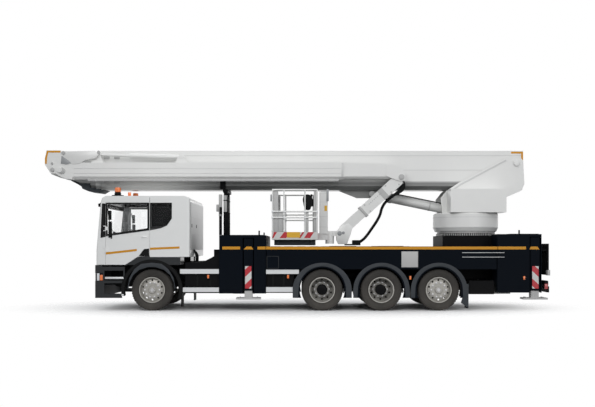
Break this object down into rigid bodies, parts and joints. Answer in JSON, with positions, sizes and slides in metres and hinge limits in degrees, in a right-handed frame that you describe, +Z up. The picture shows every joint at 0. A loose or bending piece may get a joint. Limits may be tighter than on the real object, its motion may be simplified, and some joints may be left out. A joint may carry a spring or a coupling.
{
  "type": "truck-mounted aerial work platform",
  "caption": "Four-axle truck carrying a folding telescopic boom with a work cage, on a slewing turret with outriggers.",
  "frame": {"origin": "on the ground below the middle of the whole vehicle", "axes": "+X forward, +Y to the vehicle left, +Z up"},
  "size_m": [11.89, 2.55, 3.821],
  "materials": {
    "aluminium": "satin",
    "black_plastic": "matt",
    "black_steel": "satin",
    "glass": "clear",
    "grey_steel": "satin",
    "machined_steel": "satin",
    "navy_paint": "gloss",
    "seat_fabric": "woven",
    "tyre_rubber": "matt",
    "wheel_steel": "satin",
    "white_paint": "gloss"
  },
  "bodies": {
    "chassis": {"chassis_frame": "black_steel", "slewing_ring": "machined_steel", "powertrain_tanks": "black_steel", "deck": "navy_paint", "outrigger_boxes": "navy_paint", "side_skirts": "navy_paint", "side_rails": "aluminium", "rear_panel": "black_steel", "axles": "black_steel", "cab_shell": "white_paint", "cab_glass": "glass", "cab_interior": "seat_fabric", "cab_fittings": "black_plastic", "bumper_steps": "black_plastic", "boom_rest": "black_steel"},
    "knuckle_front_left": {"knuckle_front_left": "black_steel"},
    "wheel_front_left": {"tyre_front_left": "tyre_rubber", "rim_front_left": "wheel_steel"},
    "knuckle_front_right": {"knuckle_front_right": "black_steel"},
    "wheel_front_right": {"tyre_front_right": "tyre_rubber", "rim_front_right": "wheel_steel"},
    "knuckle_tag_left": {"knuckle_tag_left": "black_steel"},
    "wheel_tag_left": {"tyre_tag_left": "tyre_rubber", "rim_tag_left": "wheel_steel"},
    "knuckle_tag_right": {"knuckle_tag_right": "black_steel"},
    "wheel_tag_right": {"tyre_tag_right": "tyre_rubber", "rim_tag_right": "wheel_steel"},
    "wheel_drive_1_left": {"tyre_drive_1_left": "tyre_rubber", "rim_drive_1_left": "wheel_steel"},
    "wheel_drive_1_right": {"tyre_drive_1_right": "tyre_rubber", "rim_drive_1_right": "wheel_steel"},
    "wheel_drive_2_left": {"tyre_drive_2_left": "tyre_rubber", "rim_drive_2_left": "wheel_steel"},
    "wheel_drive_2_right": {"tyre_drive_2_right": "tyre_rubber", "rim_drive_2_right": "wheel_steel"},
    "door_left": {"door_left": "white_paint", "door_glass_left": "glass"},
    "door_right": {"door_right": "white_paint", "door_glass_right": "glass"},
    "beam_front_left": {"beam_front_left": "navy_paint"},
    "jack_front_left": {"jack_front_left": "grey_steel"},
    "beam_front_right": {"beam_front_right": "navy_paint"},
    "jack_front_right": {"jack_front_right": "grey_steel"},
    "beam_rear_left": {"beam_rear_left": "navy_paint"},
    "jack_rear_left": {"jack_rear_left": "grey_steel"},
    "beam_rear_right": {"beam_rear_right": "navy_paint"},
    "jack_rear_right": {"jack_rear_right": "grey_steel"},
    "turret": {"turret": "white_paint", "turret_cabinets": "white_paint"},
    "luff_barrel": {"luff_barrel": "white_paint"},
    "luff_rod": {"luff_rod": "machined_steel"},
    "main_boom_base": {"main_boom_base": "white_paint"},
    "main_boom_middle": {"main_boom_middle": "white_paint"},
    "main_boom_top": {"main_boom_top": "white_paint"},
    "upper_boom_base": {"upper_boom_base": "white_paint"},
    "upper_boom_top": {"upper_boom_top": "white_paint"},
    "jib_base": {"jib_base": "white_paint"},
    "jib_top": {"jib_top": "white_paint"},
    "cage": {"cage_mount": "white_paint", "cage": "white_paint"}
  },
  "joints": [
    {"name": "steer_front_left", "type": "hinge", "parent": "chassis", "child": "knuckle_front_left", "pos_m": [3.24, 0.85, 0.48], "axis": [0, 0, 1], "range_deg": [-38, 38]},
    {"name": "spin_front_left", "type": "hinge", "parent": "knuckle_front_left", "child": "wheel_front_left", "pos_m": [3.24, 1.0835, 0.48], "axis": [0, 1, 0], "continuous": true},
    {"name": "steer_front_right", "type": "hinge", "parent": "chassis", "child": "knuckle_front_right", "pos_m": [3.24, -0.85, 0.48], "axis": [0, 0, 1], "range_deg": [-38, 38]},
    {"name": "spin_front_right", "type": "hinge", "parent": "knuckle_front_right", "child": "wheel_front_right", "pos_m": [3.24, -1.0835, 0.48], "axis": [0, 1, 0], "continuous": true},
    {"name": "steer_tag_left", "type": "hinge", "parent": "chassis", "child": "knuckle_tag_left", "pos_m": [-3.375, 0.85, 0.48], "axis": [0, 0, 1], "range_deg": [-16, 16]},
    {"name": "spin_tag_left", "type": "hinge", "parent": "knuckle_tag_left", "child": "wheel_tag_left", "pos_m": [-3.375, 1.0835, 0.48], "axis": [0, 1, 0], "continuous": true},
    {"name": "steer_tag_right", "type": "hinge", "parent": "chassis", "child": "knuckle_tag_right", "pos_m": [-3.375, -0.85, 0.48], "axis": [0, 0, 1], "range_deg": [-16, 16]},
    {"name": "spin_tag_right", "type": "hinge", "parent": "knuckle_tag_right", "child": "wheel_tag_right", "pos_m": [-3.375, -1.0835, 0.48], "axis": [0, 1, 0], "continuous": true},
    {"name": "spin_drive_1_left", "type": "hinge", "parent": "chassis", "child": "wheel_drive_1_left", "pos_m": [-0.686, 1.0835, 0.48], "axis": [0, 1, 0], "continuous": true},
    {"name": "spin_drive_1_right", "type": "hinge", "parent": "chassis", "child": "wheel_drive_1_right", "pos_m": [-0.686, -1.0835, 0.48], "axis": [0, 1, 0], "continuous": true},
    {"name": "spin_drive_2_left", "type": "hinge", "parent": "chassis", "child": "wheel_drive_2_left", "pos_m": [-2.05, 1.0835, 0.48], "axis": [0, 1, 0], "continuous": true},
    {"name": "spin_drive_2_right", "type": "hinge", "parent": "chassis", "child": "wheel_drive_2_right", "pos_m": [-2.05, -1.0835, 0.48], "axis": [0, 1, 0], "continuous": true},
    {"name": "door_left_hinge", "type": "hinge", "parent": "chassis", "child": "door_left", "pos_m": [4.301, 1.261, 1.7], "axis": [0, 0, -1], "range_deg": [0, 70]},
    {"name": "door_right_hinge", "type": "hinge", "parent": "chassis", "child": "door_right", "pos_m": [4.301, -1.261, 1.7], "axis": [0, 0, 1], "range_deg": [0, 70]},
    {"name": "beam_front_left_slide", "type": "slide", "parent": "chassis", "child": "beam_front_left", "axis": [0, 1, 0], "range_m": [0, 1.75]},
    {"name": "jack_front_left_slide", "type": "slide", "parent": "beam_front_left", "child": "jack_front_left", "axis": [0, 0, -1], "range_m": [0, 0.6]},
    {"name": "beam_front_right_slide", "type": "slide", "parent": "chassis", "child": "beam_front_right", "axis": [0, -1, 0], "range_m": [0, 1.75]},
    {"name": "jack_front_right_slide", "type": "slide", "parent": "beam_front_right", "child": "jack_front_right", "axis": [0, 0, -1], "range_m": [0, 0.6]},
    {"name": "beam_rear_left_slide", "type": "slide", "parent": "chassis", "child": "beam_rear_left", "axis": [0, 1, 0], "range_m": [0, 1.75]},
    {"name": "jack_rear_left_slide", "type": "slide", "parent": "beam_rear_left", "child": "jack_rear_left", "axis": [0, 0, -1], "range_m": [0, 0.6]},
    {"name": "beam_rear_right_slide", "type": "slide", "parent": "chassis", "child": "beam_rear_right", "axis": [0, -1, 0], "range_m": [0, 1.75]},
    {"name": "jack_rear_right_slide", "type": "slide", "parent": "beam_rear_right", "child": "jack_rear_right", "axis": [0, 0, -1], "range_m": [0, 0.6]},
    {"name": "slew", "type": "hinge", "parent": "chassis", "child": "turret", "pos_m": [-4.24, 0, 1.81], "axis": [0, 0, 1], "continuous": true},
    {"name": "luff", "type": "hinge", "parent": "turret", "child": "main_boom_base", "pos_m": [-5.44, 0, 3.513], "axis": [0, -1, 0], "range_deg": [0, 80]},
    {"name": "luff_barrel_pivot", "type": "hinge", "parent": "turret", "child": "luff_barrel", "pos_m": [-4.7, 0, 2.215], "axis": [0, -1, 0], "range_deg": [0, 72.1]},
    {"name": "luff_rod_slide", "type": "slide", "parent": "luff_barrel", "child": "luff_rod", "axis": [0.9795, 0, 0.2013], "range_m": [0, 1.848]},
    {"name": "main_telescope_1", "type": "slide", "parent": "main_boom_base", "child": "main_boom_middle", "axis": [1, 0, 0], "range_m": [0, 8]},
    {"name": "main_telescope_2", "type": "slide", "parent": "main_boom_middle", "child": "main_boom_top", "axis": [1, 0, 0], "range_m": [0, 8]},
    {"name": "elbow", "type": "hinge", "parent": "main_boom_top", "child": "upper_boom_base", "pos_m": [5.585, 0, 3.318], "axis": [0, -1, 0], "range_deg": [0, 180]},
    {"name": "upper_telescope", "type": "slide", "parent": "upper_boom_base", "child": "upper_boom_top", "axis": [-1, 0, 0], "range_m": [0, 5]},
    {"name": "jib", "type": "hinge", "parent": "upper_boom_top", "child": "jib_base", "pos_m": [-2.605, 0, 3.15], "axis": [0, 1, 0], "range_deg": [0, 180]},
    {"name": "jib_telescope", "type": "slide", "parent": "jib_base", "child": "jib_top", "axis": [0.7388, 0, -0.6739], "range_m": [0, 0.5]},
    {"name": "cage_level", "type": "hinge", "parent": "jib_top", "child": "cage", "pos_m": [-1.124, 0, 1.799], "axis": [0, 1, 0], "range_deg": [0, 150]}
  ],
  "couplings": [
    {"joint": "steer_tag_left", "follows": "steer_front_left", "ratio": -0.4},
    {"joint": "steer_tag_right", "follows": "steer_front_left", "ratio": -0.4},
    {"joint": "steer_front_right", "follows": "steer_front_left", "ratio": 1},
    {"joint": "luff_barrel_pivot", "follows": "luff", "ratio": 0.889},
    {"joint": "luff_rod_slide", "follows": "luff", "m_per_rad": 1.3161},
    {"joint": "main_telescope_1", "follows": "luff", "m_per_rad": 1.5},
    {"joint": "main_telescope_2", "follows": "luff", "m_per_rad": 1.5},
    {"joint": "elbow", "follows": "luff", "ratio": 0.2},
    {"joint": "upper_telescope", "follows": "luff", "m_per_rad": 3.3},
    {"joint": "jib", "follows": "luff", "ratio": 0.9},
    {"joint": "jib_telescope", "follows": "luff", "m_per_rad": 0.2},
    {"joint": "cage_level", "follows": "luff", "ratio": 0.3}
  ]
}
